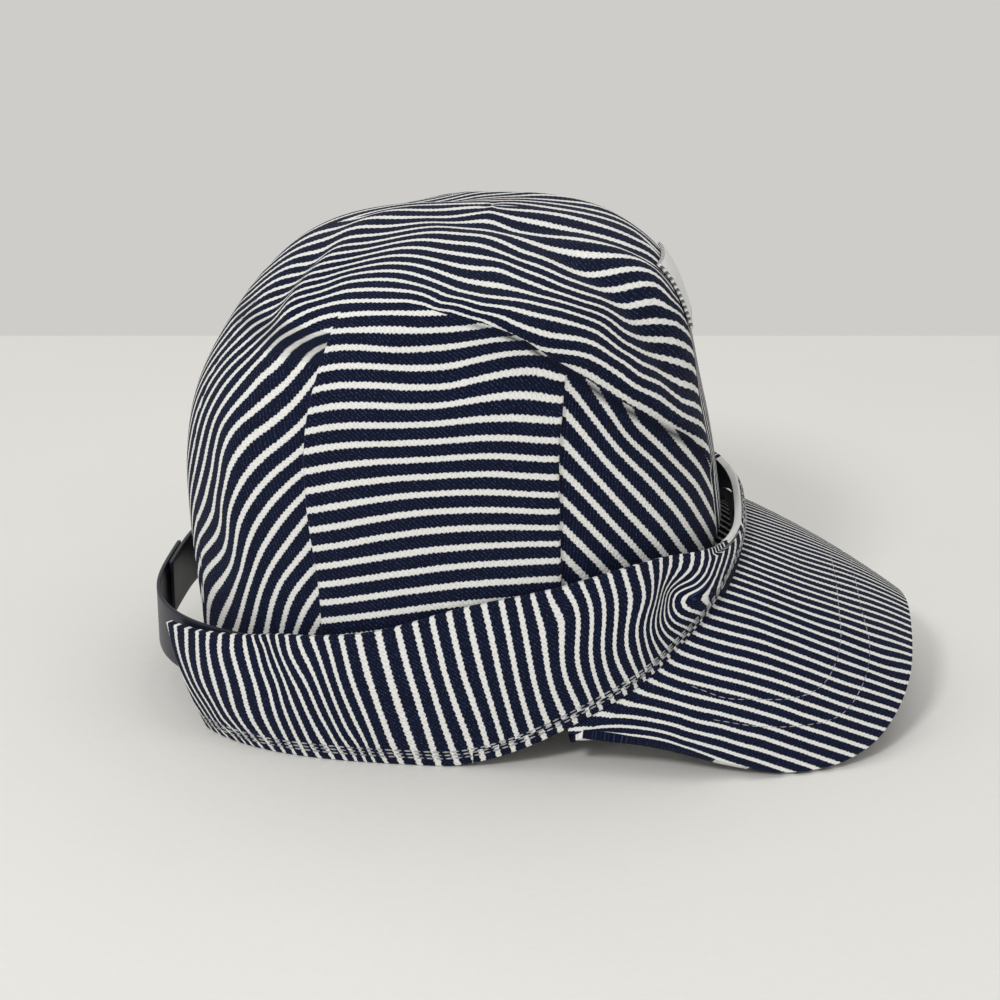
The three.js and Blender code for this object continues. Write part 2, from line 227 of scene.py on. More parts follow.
def ring_rows():
    """(level, height, centre, reach, half, power), carried on past the hem and over the top."""
    rows = [
        (level, z, (front + back) / 2, (front - back) / 2, half, square)
        for level, (z, front, back, half, square) in enumerate(CROWN_RINGS)
    ]
    last = rows[-1]
    over_centre = 2 * CROWN_TOP_X - last[2]
    over = (TOP_LEVEL + 1, last[1], over_centre, -last[3], -last[4], 2)
    return [
        (-1, -RING_SPACING, *rows[0][2:]),
        *rows,
        (TOP_LEVEL, CROWN_TOP_Z, CROWN_TOP_X, 0, 0, 2),
        over,
    ]


RINGS = ring_rows()


def smooth_crown(angle, level):
    z, centre, reach, half, square = (curve(RINGS, column, level) for column in range(1, 6))
    open_ring = level < TOP_LEVEL - 1e-6
    safe_reach, safe_half = np.where(open_ring, reach, 1), np.where(open_ring, half, 1)
    radius = np.where(open_ring, outline(angle, safe_reach, safe_half, square), 0)
    return np.stack([centre + radius * np.cos(angle), radius * np.sin(angle), z], -1)


def outward(surface, angle, level):
    """Unit vectors straight out of a surface(angle, level)."""
    step = 0.01
    round_it = surface(angle + step, level) - surface(angle - step, level)
    up_it = surface(angle, level + step) - surface(angle, level - step)
    away = np.cross(round_it, up_it)
    away /= np.maximum(np.linalg.norm(away, axis=-1, keepdims=True), 1e-9)
    return np.where((level > TOP_LEVEL - 0.02)[..., None], [0.0, 0.0, 1.0], away)


print("crown:", len(CROWN_RINGS), "rings up to", CROWN_TOP_Z, "mm")

# %% [markdown]
# ## Folds and pleats
# Cloth that is gathered into a band buckles into ridges and valleys, and where it is sewn into a
# pleat it stands up as an edge. A simulation would put folds where it likes. These are given one
# by one instead, each as one straight run over the cloth, because the photograph shows where they
# lie. A fold pushes the cloth along its normal with a bell-shaped section.

# %% Folds of the crown
# side, angle, level, to angle, to level, height, width
CROWN_FOLDS = [
    (-1, 104, 6.4, 82, 6.1, 1.8, 6),
    (-1, 82, 6.1, 56, 5.1, 2.8, 7),
    (-1, 56, 5.1, 22, 3.75, 3.0, 8),
    (-1, 80, 5.55, 54, 4.5, -1.8, 5),
    (-1, 54, 4.5, 26, 3.25, -1.8, 6),
    (-1, 53, 7.8, 42, 6.15, -2.4, 7),
    (-1, 42, 6.15, 28, 4.3, -2.6, 7),
    (-1, 28, 6.8, 16, 4.4, 2.6, 11),
    (-1, 131, 5.2, 138, 6.9, 2.4, 6),
    (-1, 138, 6.9, 172, 8.4, 2.2, 8),
    (-1, 141, 5.0, 150, 7.0, -2.2, 7),
    (-1, 140, 8.9, 62, 8.6, -1.8, 8),
    (-1, 62, 8.6, 22, 8.1, -1.8, 7),
    (-1, 22, 7.7, 14, 6.4, -1.4, 6),
    (-1, 136, 3.9, 137, 1.4, 2.0, 8),
    (1, 126, 5.2, 96, 7.6, 2.2, 8),
    (1, 150, 6.4, 118, 8.6, -2.4, 9),
    (1, 84, 7.8, 26, 7.4, 2.0, 9),
    (1, 52, 7.0, 34, 4.4, -2.4, 8),
    (1, 68, 5.4, 30, 3.4, 2.4, 9),
    (1, 144, 4.4, 139, 1.6, 1.8, 8),
]
FOLD_SAMPLES = 16
PANEL_FRONT = 60.0
PANEL_BACK = 118.0
PANEL_LIFT = 2.2
PANEL_STEP = 0.6
PANEL_FULL = 4.3
PANEL_GONE = 5.2


def fold_runs(folds):
    """Each fold as places along it on the smooth crown, with how strong it is at each."""
    t = np.linspace(0, 1, FOLD_SAMPLES + 1)
    runs = []
    for side, angle, level, to_angle, to_level, height, width in folds:
        angles = np.radians(side * (angle + (to_angle - angle) * t))
        places = smooth_crown(angles, level + (to_level - level) * t)
        runs.append((places, np.sqrt(np.sin(math.pi * (0.06 + 0.88 * t))), height, width))
    return runs


RUNS = fold_runs(CROWN_FOLDS)


def fold_push(places):
    push = np.zeros(places.shape[:-1])
    for centres, strengths, height, width in RUNS:
        strongest = np.zeros_like(push)
        for centre, strength in zip(centres, strengths):
            apart = ((places - centre) ** 2).sum(-1) / width**2
            strongest = np.maximum(strongest, strength * np.exp(-apart))
        push += height * strongest
    return push


def panel_push(degrees, level):
    """The flat side panel stands proud of the gathered cloth beside it."""
    rise = smooth(degrees, PANEL_FRONT - PANEL_STEP, PANEL_FRONT + PANEL_STEP)
    fall = smooth(degrees, PANEL_BACK - PANEL_STEP, PANEL_BACK + PANEL_STEP)
    return PANEL_LIFT * (rise - fall) * (1 - smooth(level, PANEL_FULL, PANEL_GONE))


# degrees, level: the edge of the long fold, where the cloth of the top laps over the side
LONG_FOLD = [
    (0, 2.3),
    (10, 2.82),
    (24.5, 3.6),
    (34.5, 4.0),
    (48.5, 4.52),
    (56.5, 4.86),
    (65, 5.22),
    (72.5, 5.58),
    (82, 5.85),
    (90.5, 6.0),
    (103, 6.21),
    (180, 6.6),
]
LAP = 1.5
LAP_REACH = 16.0
LAP_FRONT = (6, 20)
LAP_BACK = (74, 94)
LAP_EDGE = (-1.4, 0.6)
LEVEL_MM = 18.0


def above_fold(degrees, level):
    """Distance in mm above the long fold's edge, measured square to it."""
    return (level - curve(LONG_FOLD, 1, degrees)) * LEVEL_MM


def lap_ends(degrees):
    """The lap fades out at both ends of the fold."""
    return smooth(degrees, *LAP_FRONT) * (1 - smooth(degrees, *LAP_BACK))


def lap_push(degrees, level):
    """How far the lapping cloth stands up, as a share of the lap."""
    above = above_fold(degrees, level)
    fade = np.exp(-((np.maximum(above, 0) / LAP_REACH) ** 2))
    return lap_ends(degrees) * smooth(above, *LAP_EDGE) * fade


def crown_place(angle, level, lap=LAP):
    place = smooth_crown(angle, level)
    degrees = np.degrees(np.abs(np.arctan2(np.sin(angle), np.cos(angle))))
    push = fold_push(place) + panel_push(degrees, level) + lap * lap_push(degrees, level)
    return place + outward(smooth_crown, angle, level) * push[..., None]


print("crown:", len(CROWN_FOLDS), "folds")

# %% [markdown]
# ## The band's form
# The band is a strip sewn to the hem and turned up, so its bottom edge is the hem of the cap and
# its top edge stands free. Both edges are rounded boxes whose heights come from short tables. The
# hem rises towards the front, over the visor, and lies on the table at the back.

# %% Loops and edges of the band
# front, back, half, power, end in degrees
BAND_BOTTOM = (101, 91, 80, 3, 141)
BAND_TOP = (100, 104, 78, 3, 147)
# x, height
BAND_BOTTOM_HEIGHTS = [
    (-80, 0),
    (4, 0),
    (16, 1.6),
    (31, 6.8),
    (47, 14.8),
    (69, 28),
    (86, 43),
    (97, 55),
    (101, 60),
]
BAND_TOP_HEIGHTS = [
    (-89, 36),
    (-41, 41.6),
    (-16, 45),
    (13, 54.6),
    (39, 61),
    (68, 68),
    (86, 67),
    (100, 66.4),
]
BAND_BULGE = 1.6
# degrees from the front, push at mid height, push at the free edge, half width in degrees
BAND_BUCKLES = [(-37, 1.5, -4.0, 7), (-124, 1.0, -1.5, 7), (41, 1.0, -3.0, 8)]
# degrees, height, push, half width in degrees, half width in height
BAND_DENTS = [
    (-39.5, 0.6, -2.6, 4, 0.22),
    (-46, 0.35, 0.9, 5, 0.4),
    (-32, 0.35, 0.8, 4, 0.3),
    (-122, 0.8, -1.2, 3, 0.3),
]
BAND_WALL = 2.4


def loop_place(loop, angle, heights):
    front, back, half, square, _ = loop
    radius = outline(angle, np.where(np.cos(angle) > 0, front, back), half, square)
    x, y = radius * np.cos(angle), radius * np.sin(angle)
    return np.stack([x, y, np.maximum(0, curve(heights, 1, x))], -1)


def band_bottom(angle):
    return loop_place(BAND_BOTTOM, angle, BAND_BOTTOM_HEIGHTS)


def band_top(angle):
    return loop_place(BAND_TOP, angle, BAND_TOP_HEIGHTS)


def band_place(along, height, dents=BAND_DENTS):
    """along -1 is the right end and 1 the left; height 0 is the hem and 1 the free edge."""
    low = band_bottom(np.radians(BAND_BOTTOM[4] * along))
    high = band_top(np.radians(BAND_TOP[4] * along))
    step = 0.002
    ahead, behind = (band_top(np.radians(BAND_TOP[4] * (along + s))) for s in (step, -step))
    out = np.stack([(ahead - behind)[..., 1], -(ahead - behind)[..., 0], 0 * along], -1)
    out /= np.linalg.norm(out, axis=-1, keepdims=True)
    degrees = along * (BAND_BOTTOM[4] * (1 - height) + BAND_TOP[4] * height)
    push = BAND_BULGE * np.sin(math.pi * height)
    for angle, middle, edge, width in BAND_BUCKLES:
        lean = middle * np.sin(math.pi * height) + edge * height**2
        push = push + lean * np.exp(-(((degrees - angle) / width) ** 2))
    for angle, middle, depth, width, tall in dents:
        apart = ((degrees - angle) / width) ** 2 + ((height - middle) / tall) ** 2
        push = push + depth * np.exp(-apart)
    return low * (1 - height[..., None]) + high * height[..., None] + out * push[..., None]


# %% [markdown]
# ## How the stripes run
# A pattern of stripes is what tells the eye how cloth is cut and sewn. Painting them on object
# coordinates would give straight lines that ignore every seam. Here each face gets its place in
# the cloth as a UV map: U counts stripes across, V runs along them in the same measure. On the
# crown there are four pieces of cloth to a side. The front strip has upright stripes. The side
# panel between the pleats has level ones. The quarters before and behind it run down askew,
# because their cloth was pulled into the pleats. Above the long fold the cloth of the top lies
# over them all, so each face there carries two places in the cloth, and the shader shows one.
# A few stripes of each piece come from the photograph, and a thin sheet that bends through their
# places gives the stripe numbers between them.

# %% Stripes read on the crown
# Each row is a stripe, counted from the middle of the top, and then the pixels that it passes,
# across and down by turns.
TOP_READ = [
    (4, 505, 237, 540, 251, 563, 259, 605, 264, 638, 263, 657, 272, 674, 293),
    (5, 480, 240, 521, 256, 563, 271.7, 605, 281, 657, 280),
    (6, 260, 294, 300, 277, 340, 257, 400, 245, 440, 247, 500, 257, 563, 282, 605, 294.6),
    (6, 659, 293.5),
    (7, 440, 256, 500, 264, 542.5, 282, 584, 298.7, 613, 309, 638, 314, 678, 315.4),
    (8, 240, 326, 280, 300, 320, 275, 400, 259.3, 460, 274, 500, 277, 542.5, 293.5, 584, 307),
    (8, 605, 312, 622, 325, 642.5, 331, 684, 338),
    (9, 542.5, 302, 584, 313, 605, 319.6, 622, 336, 646.7, 347.7, 688, 357),
    (10, 260, 326, 300, 296, 340, 280, 400, 275.6, 440, 288, 480, 302, 521, 307, 563, 315),
    (10, 600, 328, 622, 346, 640, 358, 660, 368, 690, 374),
    (11, 440, 303, 480, 315.5, 521, 322, 563, 330, 605, 342.5, 640, 368, 680, 394, 708, 415),
    (12, 275, 328, 305, 305, 360, 296, 400, 297.4, 542, 344.6, 584, 348.7, 621.7, 367.5),
    (12, 657, 390, 692.5, 415),
    (13, 320, 312.6, 400, 306, 580, 361, 605, 373.7, 642, 397, 680, 421, 706, 440),
    (14, 282, 345, 320, 328, 400, 320),
    (15, 320, 343),
]
FRONT_READ = [
    (14, 646.7, 415, 684, 438, 707, 471.7),
    (15, 626, 405, 663, 432, 696.7, 471.7, 715, 510),
    (16, 499, 347, 597, 388, 630, 415, 659, 449, 700, 505),
    (17, 499, 366, 542.5, 362, 563, 367.5, 584, 383, 613, 421, 655, 472, 707, 546),
    (18, 500, 389, 552, 381, 562, 390, 594, 432, 631.6, 475, 692, 552),
    (19, 556, 412, 594, 467, 631.6, 510.6, 673, 554),
    (20, 557.5, 448.5, 594, 492, 655, 553),
    (21, 557.5, 480.5, 594, 522, 630, 557),
    (22, 557.5, 508.7, 600, 555),
    (23, 557.5, 535, 595, 571),
]
PANEL_READ = [
    (12, 400, 297.4),
    (13, 400, 306),
    (14, 282, 345, 320, 328, 400, 320),
    (15, 320, 343, 391, 342, 480, 334),
    (16, 499, 347),
    (17, 320, 380, 443, 376, 499, 366, 542.5, 362, 563, 367.5),
    (18, 320, 398, 443, 394, 541, 383, 562, 390),
    (20, 320, 440, 500, 427),
    (22, 320, 479, 500, 466),
    (24, 320, 520, 549, 503),
    (27, 320, 577, 540, 555),
    (30, 322, 632),
]
BACK_READ = [
    (8, 227, 340),
    (10, 245, 340),
    (12, 262, 340, 223.5, 377, 204, 418),
    (14, 282, 345, 258, 370.4, 230, 405, 212.6, 444, 201.7, 492),
    (15, 301.7, 351, 282, 374.8, 247.4, 405, 223.5, 433.5, 214.8, 470.4, 204, 514),
    (16, 299.6, 381, 277.8, 403, 245, 429, 223.5, 466, 218, 514),
    (17, 299.6, 411.7, 273.5, 435.7, 238.7, 470.4, 222.4, 514, 212.6, 553),
    (18, 298.5, 441, 273.5, 461.7, 240.9, 501, 230, 546.5, 204, 598.7),
    (19, 301.7, 461.7, 273.5, 487.8, 245, 527, 238.7, 568, 214.8, 611.7),
    (20, 304, 483.5, 271.3, 516, 249.6, 557, 238.7, 601, 226.7, 629),
    (21, 307, 505, 277.8, 537.8, 256, 579, 243, 629),
    (22, 308, 529, 286.5, 559.6, 263.7, 601, 260.4, 629),
    (23, 312.6, 555, 288.7, 585.6, 272.4, 633.5),
    (24, 314.8, 581, 293, 616, 286.5, 640),
    (25, 318, 608.5, 300.6, 640),
]
# Where no stripe could be read, places are given, as degrees from the front and level.
TOP_CHOSEN = [
    (13, 96, 6.13, 90, 6.04, 82, 5.9),
    (0, 0, 7, 0, 8, 0, 9, 60, 10, 120, 10, 180, 10, 180, 9, 180, 8),
    (1, 180, 7, 180, 6),
]
PANEL_CHOSEN = [(16, 122, 4.85)]
BACK_CHOSEN = [(3, 180, 5), (4, 180, 3), (6, 180, 1.5), (16, 120, 4.9, 156, 1.9)]
CROWN_EDGE_SLACK = 20
STRIPE = 6.35
FRONT_STRIP = 14.0

# %% Spread the stripes over the cloth between them
DEGREE_MM = 1.25
RING_MM = 24.0
SOFT = 0.6
STIFF = 8.0


def bend_kernel(apart):
    """How a thin sheet bends at a squared distance from the place where it is held."""
    return apart * np.log(np.maximum(apart, 1e-6))


def sheet_through(rows, degree_mm, ring_mm, stiffness):
    """A function of two coordinates that bends like a thin sheet through the places of the rows."""
    held = [(*place, row[0]) for row in rows for place in zip(row[1::2], row[2::2])]
    held = np.array(held) * (degree_mm, ring_mm, 1)
    places, numbers = held[:, :2], held[:, 2]
    flat = np.hstack([np.ones((len(places), 1)), places])
    apart = ((places[:, None] - places[None]) ** 2).sum(-1)
    matrix = np.zeros((len(places) + 3, len(places) + 3))
    matrix[:-3, :-3] = bend_kernel(apart) + stiffness * degree_mm * 100 * np.eye(len(places))
    matrix[:-3, -3:], matrix[-3:, :-3] = flat, flat.T
    weights = np.linalg.solve(matrix, np.concatenate([numbers, np.zeros(3)]))

    def sheet(first, second):
        x, y = np.ravel(first) * degree_mm, np.ravel(second) * ring_mm
        height = weights[-3] + weights[-2] * x + weights[-1] * y
        for (px, py), weight in zip(places, weights):
            height = height + weight * bend_kernel((x - px) ** 2 + (y - py) ** 2)
        return height.reshape(np.shape(first))

    return sheet


def crown_reader():
    """The near side of the crown, without the lap: a stripe goes on under it as it was."""
    degrees, level = np.meshgrid(np.linspace(0, 180, 721), np.linspace(0.5, TOP_LEVEL, 500))
    angle = -np.radians(degrees)
    places = crown_place(angle, level, lap=0)
    hidden = turned_away(places, outward(smooth_crown, angle, level), CROWN_EDGE_SLACK)
    return reader(degrees, level, places, hidden, (1, 0.05))


read_crown = crown_reader()
top_number, front_number, panel_number, back_number = (
    sheet_through(read_crown(rows) + chosen, DEGREE_MM, RING_MM, stiffness)
    for rows, chosen, stiffness in (
        (TOP_READ, TOP_CHOSEN, SOFT),
        (FRONT_READ, [], STIFF),
        (PANEL_READ, PANEL_CHOSEN, SOFT),
        (BACK_READ, BACK_CHOSEN, SOFT),
    )
)


def crown_cloth(part, degrees, level, place):
    """Stripe number and length along, in mm, for the cloth under the long fold and over it."""
    x, y, z = place[..., 0], np.abs(place[..., 1]), place[..., 2]
    over = top_number(degrees, level)
    under_along = x
    if part == "strip":
        top = smooth(level, 6, 7)
        under = y / STRIPE * (1 - top) + over * top
        over = under
        under_along = z * (1 - top) + x * top
    elif part == "front":
        top = smooth(level, 4.7, 5) * smooth(degrees, 54, 60)
        under = front_number(degrees, level) * (1 - top) + panel_number(degrees, level) * top
        under_along = 0.62 * x - 0.78 * z
    elif part == "panel":
        top = smooth(level, 5.5, 6.1) * smooth(degrees, 96, 106)
        under = panel_number(degrees, level) * (1 - top) + over * top
    else:
        top = smooth(level, 4.9, 5.5)
        under = back_number(degrees, level) * (1 - top) + over * top
        under_along = (-z - 0.4 * x) * (1 - top) + x * top
    return under, under_along, over, x


print("read", sum(len(row) // 2 for row in TOP_READ), "places on the stripes of the top")

# %% [markdown]
# ## Making cloth from a grid
# Any piece of cloth starts flat. So each one starts as Blender's grid, and its vertices are then
# carried to their draped places by a function, in one go. A Solidify modifier gives the cloth its
# thickness afterwards. The grid's faces keep their order, so the stripes can be laid on them by
# row and column, also where neighbouring faces belong to different pieces of cloth.

# %% Drape a grid


def finish_piece(name, bm, material, nodes=()):
    """A mesh object from a bmesh, with its material, body, slot and the solids it stands for."""
    mesh = bpy.data.meshes.new(name)
    bm.to_mesh(mesh)
    bm.free()
    mesh.materials.append(material)
    mesh.shade_smooth()
    piece = bpy.data.objects.new(name, mesh)
    bpy.context.scene.collection.objects.link(piece)
    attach(piece, "root")
    if nodes:
        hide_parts(*nodes)
    print(name, "has", len(mesh.vertices), "vertices")
    return piece


def drape(columns, rows, surface, stripes, shade_faces=None):
    """A bmesh grid carried to surface(u, v), in mm, with UVs from stripes(column, row, u, v).

    columns and rows are the values of u and v at the grid's lines. stripes gives a dictionary of
    UV maps by name, each with a value across the stripes and one along them. The last argument
    says which faces, by column and row, take the piece's second material, a plain dark cloth
    painted as shade."""
    bm = bmesh.new()
    bmesh.ops.create_grid(bm, x_segments=len(columns) - 1, y_segments=len(rows) - 1, size=1)
    bm.verts.ensure_lookup_table()
    flat = np.array([vertex.co[:2] for vertex in bm.verts])
    column = np.rint((flat[:, 0] + 1) / 2 * (len(columns) - 1)).astype(int)
    row = np.rint((flat[:, 1] + 1) / 2 * (len(rows) - 1)).astype(int)
    u, v = np.asarray(columns)[column], np.asarray(rows)[row]
    places = to_frame(surface(u, v))
    corners = np.array([[vertex.index for vertex in face.verts] for face in bm.faces])
    face_column = column[corners].min(axis=1)[:, None] + 0 * corners
    face_row = row[corners].min(axis=1)[:, None] + 0 * corners
    for name, (across, along) in stripes(face_column, face_row, u[corners], v[corners]).items():
        layer = bm.loops.layers.uv.new(name)
        for face, face_across, face_along in zip(bm.faces, across, along):
            for loop, a, b in zip(face.loops, face_across, face_along):
                loop[layer].uv = (a, b)
    if shade_faces:
        for face, second in zip(bm.faces, shade_faces(face_column[:, 0], face_row[:, 0])):
            face.material_index = int(second)
    for vertex, place in zip(bm.verts, places):
        vertex.co = place
    return bm


def thicken(piece, wall_mm, offset=-1, edge_mm=0, segments=3):
    """A wall on one side of a sheet, and where edge_mm is given, rounded edges."""
    wall = piece.modifiers.new("wall", "SOLIDIFY")
    wall.thickness = wall_mm * MM
    wall.offset = offset
    if edge_mm:
        edge = piece.modifiers.new("edge", "BEVEL")
        edge.width = edge_mm * MM
        edge.segments = segments
        edge.angle_limit = math.radians(50)
    return wall


def face_outward(bm):
    """Turn an open sheet's faces away from the head, so that its wall grows inwards."""
    bmesh.ops.recalc_face_normals(bm, faces=bm.faces)
    head = Vector(to_frame((0, 0, 60)))
    away = sum(face.normal.dot(face.calc_center_median() - head) for face in bm.faces)
    print("faced", "outward" if away > 0 else "inward, turned round")
    if away < 0:
        bmesh.ops.reverse_faces(bm, faces=bm.faces)


def lines(*stretches):
    """Grid lines from (start, end, count) stretches that follow each other."""
    ends = [np.linspace(start, end, count, endpoint=False) for start, end, count in stretches]
    return np.concatenate([*ends, [stretches[-1][1]]])


# %% [markdown]
# ## Shader sums
# Materials here are sums on a few masks. This small class lets them be written as sums, so a
# line of the script reads like the formula that it is.

# %% A class for sockets


class Socket:
    """An output of a node. Sums on it add Math nodes to its tree."""

    def __init__(self, look, output):
        self.look = look
        self.output = output

    def maths(self, operation, *values):
        inputs = dict(enumerate(values))
        return self.look.node("ShaderNodeMath", {"operation": operation}, inputs)

    def __add__(self, other):
        return self.maths("ADD", self, other)

    def __radd__(self, other):
        return self.maths("ADD", other, self)

    def __sub__(self, other):
        return self.maths("SUBTRACT", self, other)

    def __rsub__(self, other):
        return self.maths("SUBTRACT", other, self)

    def __mul__(self, other):
        return self.maths("MULTIPLY", self, other)

    def __rmul__(self, other):
        return self.maths("MULTIPLY", other, self)

    def __truediv__(self, other):
        return self.maths("DIVIDE", self, other)

    def fraction(self):
        return self.maths("FRACT", self)

    def size(self):
        return self.maths("ABSOLUTE", self)

    def kept(self):
        """Held between 0 and 1."""
        return self.look.node("ShaderNodeClamp", {}, {"Value": self})


class Look:
    """The node tree of one material."""

    def __init__(self, name):
        self.material = bpy.data.materials.new(name)
        self.material.use_nodes = True
        self.tree = self.material.node_tree
        self.tree.nodes.clear()

    def node(self, kind, settings, inputs, output=0):
        """A node of a type, its settings made first, with values or links in its inputs."""
        node = self.tree.nodes.new(kind)
        for name, value in settings.items():
            setattr(node, name, value)
        for name, value in inputs.items():
            if isinstance(value, Socket):
                self.tree.links.new(value.output, node.inputs[name])
            else:
                node.inputs[name].default_value = value
        return Socket(self, node.outputs[output]) if node.outputs else None

    def mix(self, factor, first, second):
        """A colour between two others. Sockets 6 and 7 are the colours of the Mix node."""
        inputs = {0: factor, 6: first, 7: second}
        return self.node("ShaderNodeMix", {"data_type": "RGBA"}, inputs, 2)

    def map_of(self, name):
        return self.node("ShaderNodeUVMap", {"uv_map": name}, {})

    def parts(self, place):
        """U and V of a place on the cloth, both counted in stripes."""
        split = self.node("ShaderNodeSeparateXYZ", {}, {"Vector": place})
        return split, Socket(self, split.output.node.outputs[1])

    def mix_places(self, factor, first, second):
        """One of two places. Sockets 4 and 5 are the vectors of the Mix node."""
        return self.node("ShaderNodeMix", {"data_type": "VECTOR"}, {0: factor, 4: first, 5: second}, 1)

    def objects(self):
        return self.node("ShaderNodeTexCoord", {}, {}, 3)

    def noise(self, vector, scale, detail=2.0, roughness=0.5):
        inputs = {"Vector": vector, "Scale": scale, "Detail": detail, "Roughness": roughness}
        return self.node("ShaderNodeTexNoise", {}, inputs)

    def finish(self, inputs, height, depth):
        """A Principled shader with a bump of the given height map."""
        bump = self.node("ShaderNodeBump", {}, {"Height": height, "Distance": depth, "Strength": 1.0})
        shader = self.node("ShaderNodeBsdfPrincipled", {}, {**inputs, "Normal": bump})
        self.node("ShaderNodeOutputMaterial", {}, {"Surface": shader})
        return self.material


# %% [markdown]
# ## Striped twill
# Hickory stripe is woven with thick cream yarns and thin navy ones. The cream stripe is a little
# over a third of each repeat, and its edges step in small teeth where the twill's diagonal
# crosses them. The navy is not one colour: pale weft shows through it as fine specks. All of it
# hangs on the cloth's UV map, so that the pattern turns with the folds.

# %% Material of the striped cloth
NAVY = (0.0032, 0.0048, 0.0165, 1)
NAVY_SPECK = (0.055, 0.09, 0.23, 1)
CREAM = (0.85, 0.85, 0.83, 1)
# a darker cream: painted shade in the grooves of the yarn, and uneven tone
CREAM_SHADE = (0.52, 0.525, 0.515, 1)
CREAM_SHARE = 0.335
TEETH = 4.0
TOOTH = 0.034
TWILL = 4.2
LINING_PALE = (0.008, 0.011, 0.026, 1)
# how dark the painted shadow under the long fold's edge is
FOLD_PAINTED_SHADOW = 0.9


def striped_cloth(name, lapped):
    """Striped twill. Where cloth laps over cloth, the map "fold" says which one shows and where shadow
    is painted under its edge.
    """
    look = Look(name)
    place = look.map_of("cloth")
    dark = None
    if lapped:
        above, strength = look.parts(look.map_of("fold"))
        place = look.mix_places(above.maths("GREATER_THAN", above, 0), place, look.map_of("over"))
        # painted shadow: a thin band just under the fold's edge goes towards navy
        dark = (1 - ((above + 0.12) / 0.16).size()).kept() * strength * FOLD_PAINTED_SHADOW
    across, along = look.parts(place)
    sway = look.noise(place, 0.35) - 0.5
    uneven = look.noise(place, 2.5, 2.0) * 1.6
    tooth = (along * TEETH + across * 0.5 + uneven).fraction()
    teeth = ((tooth - 0.5).size() * 4 - 1) * TOOTH
    fray = (look.noise(place, 7.0, 2.0, 0.6) - 0.5) * 0.07
    line = (across + sway * 0.10).fraction() - 0.5
    cream = ((CREAM_SHARE / 2 + teeth + fray - line.size()) / 0.035 + 0.5).kept()
    twill = ((across * TWILL + along * TWILL + uneven * 0.5).fraction() - 0.5).size() * 2
    grain = look.noise(place, 12.0, 3.0, 0.75)
    specks = ((grain - 0.555) * 6 + (twill - 0.5) * 1.1).kept()
    navy = look.mix(specks * 0.8, NAVY, NAVY_SPECK)
    shade = ((look.noise(place, 9.0, 3.0, 0.7) - 0.4) * 2.2).kept()
    # the slanted grooves between the twisted cream yarns sink in the bump and are also painted darker,
    # as shade
    rope_grooves = ((tooth - 0.5).size() * 2 - 0.55).kept() * 1.6
    pale = look.mix((rope_grooves * 0.35 + shade * 0.45).kept(), CREAM, CREAM_SHADE)
    colour = look.mix(cream, navy, pale)
    # the painted shadow under the fold
    if lapped:
        colour = look.mix(dark, colour, NAVY)
    height = cream * (0.75 - rope_grooves * 0.4) + twill * 0.25 + grain * 0.5
    roughness = 0.92 - cream * 0.06
    inputs = {"Base Color": colour, "Roughness": roughness}
    inputs.update({"Sheen Weight": 0.02, "Sheen Roughness": 0.5, "Specular IOR Level": 0.12})
    return look.finish(inputs, height, 0.0004)


def lining_and_tuck_shade_cloth():
    """Plain dark cloth on the inside, where the photograph shows no stripes, and on the visor's tuck
    as painted shade.
    """
    look = Look("lining and tuck shade")
    place = look.objects()
    grain = look.noise(place, 1500.0, 3.0, 0.7)
    colour = look.mix(grain * 0.5, NAVY, LINING_PALE)
    return look.finish({"Base Color": colour, "Roughness": 0.85 + grain * 0.1}, grain, 0.0002)


STRIPED = striped_cloth("striped cloth", False)
# plain dark cloth for the band's inside, also put on the visor's tuck as painted shade
LINING_AND_TUCK_SHADE = lining_and_tuck_shade_cloth()
CROWN_STRIPED = striped_cloth("striped crown cloth", True)
print("striped cloth:", len(STRIPED.node_tree.nodes), "nodes")

# %% [markdown]
# ## The crown
# The crown's cloth hangs from a level just above the hem to the top, with an arch cut out of the
# back. Its grid has a line on every pleat, so that the step of the pleat is sharp and the stripes
# can break there.

# %% Drape the crown
CROWN_WALL = 1.6
CROWN_LIFT = 1.5
CROWN_ROWS = 132
ARCH_HALF = 40.0
ARCH_HEIGHT = 66.0
ARCH_POWER = 3.0
# start and end in degrees from the front, number of faces, piece of cloth
CROWN_STRETCHES = [
    (0, FRONT_STRIP, 16, "strip"),
    (FRONT_STRIP, PANEL_FRONT - PANEL_STEP, 48, "front"),
    (PANEL_FRONT - PANEL_STEP, PANEL_FRONT, 3, "front"),
    (PANEL_FRONT, PANEL_FRONT + PANEL_STEP, 3, "panel"),
    (PANEL_FRONT + PANEL_STEP, PANEL_BACK - PANEL_STEP, 52, "panel"),
    (PANEL_BACK - PANEL_STEP, PANEL_BACK, 3, "panel"),
    (PANEL_BACK, PANEL_BACK + PANEL_STEP, 3, "back"),
    (PANEL_BACK + PANEL_STEP, 180, 46, "back"),
]


def crown_start(angle):
    """The level at which the cloth starts: above the hem, or at the arch in the back."""
    hem = band_bottom(angle)[..., 2] + CROWN_LIFT
    x, y, _ = np.moveaxis(smooth_crown(angle, np.ones_like(angle)), -1, 0)
    inside = (x < 0) & (np.abs(y) < ARCH_HALF)
    share = np.clip(np.abs(y) / ARCH_HALF, 0, 1)
    arch = np.where(inside, ARCH_HEIGHT * (1 - share**ARCH_POWER) ** (1 / ARCH_POWER), 0)
    return np.maximum(hem, arch) / RING_SPACING


def crown_surface(degrees, height):
    angle = np.radians(degrees)
    start = crown_start(angle)
    level = start + (TOP_LEVEL - start) * height
    return crown_place(np.where(height > 1 - 1e-9, 0, angle), level)


CROWN_SIDE_LINES = lines(*[stretch[:3] for stretch in CROWN_STRETCHES])
CROWN_LINES = np.concatenate([-CROWN_SIDE_LINES[:0:-1], CROWN_SIDE_LINES])
CROWN_PARTS = [part for _, _, count, part in CROWN_STRETCHES for _ in range(count)]
CROWN_PARTS = CROWN_PARTS[::-1] + CROWN_PARTS


